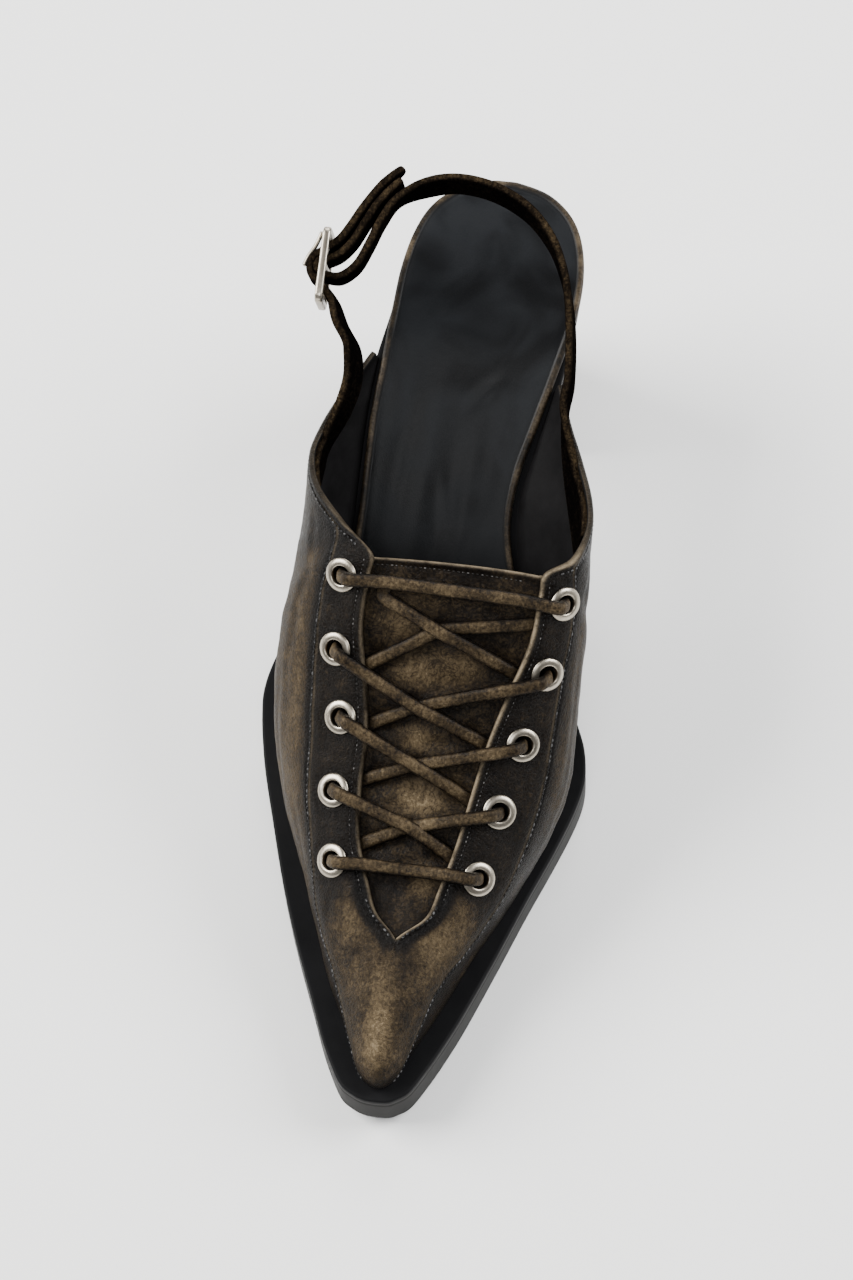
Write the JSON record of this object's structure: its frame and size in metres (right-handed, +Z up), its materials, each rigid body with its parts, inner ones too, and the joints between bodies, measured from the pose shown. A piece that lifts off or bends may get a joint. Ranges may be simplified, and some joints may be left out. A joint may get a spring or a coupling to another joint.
{
  "type": "lace up heel",
  "caption": "Right foot's lace up slingback heel in rubbed black and bronze leather, with an open back, a strap that buckles on the outer side and a block heel.",
  "frame": {"origin": "on the floor under the middle of the shoe", "axes": "+Z up, toe to -Y, heel to +Y, outer (lateral) side of the right foot to -X"},
  "size_m": [0.095, 0.2622, 0.1085],
  "materials": {
    "black_rubber": "matt",
    "heel_leather": "satin",
    "black_sock_leather": "soft sheen",
    "rubbed_bronze_leather": "rubbed, satin",
    "tongue_leather": "satin",
    "lace_leather": "rubbed",
    "satin_nickel": "satin"
  },
  "bodies": {
    "root": {"outsole": "black_rubber", "heel": "heel_leather", "top_lift": "black_rubber", "insole": "black_sock_leather", "upper": "rubbed_bronze_leather", "tongue": "tongue_leather", "eyelet_lateral_1": "satin_nickel", "eyelet_medial_1": "satin_nickel", "eyelet_lateral_2": "satin_nickel", "eyelet_medial_2": "satin_nickel", "eyelet_lateral_3": "satin_nickel", "eyelet_medial_3": "satin_nickel", "eyelet_lateral_4": "satin_nickel", "eyelet_medial_4": "satin_nickel", "eyelet_lateral_5": "satin_nickel", "eyelet_medial_5": "satin_nickel", "lace_bar_top": "lace_leather", "lace_bar_bottom": "lace_leather", "lace_crossing_1": "lace_leather", "lace_crossing_2": "lace_leather", "lace_crossing_3": "lace_leather", "lace_crossing_4": "lace_leather", "sling_strap": "rubbed_bronze_leather", "front_strap": "rubbed_bronze_leather", "buckle_frame": "satin_nickel", "buckle_prong": "satin_nickel"}
  },
  "joints": []
}
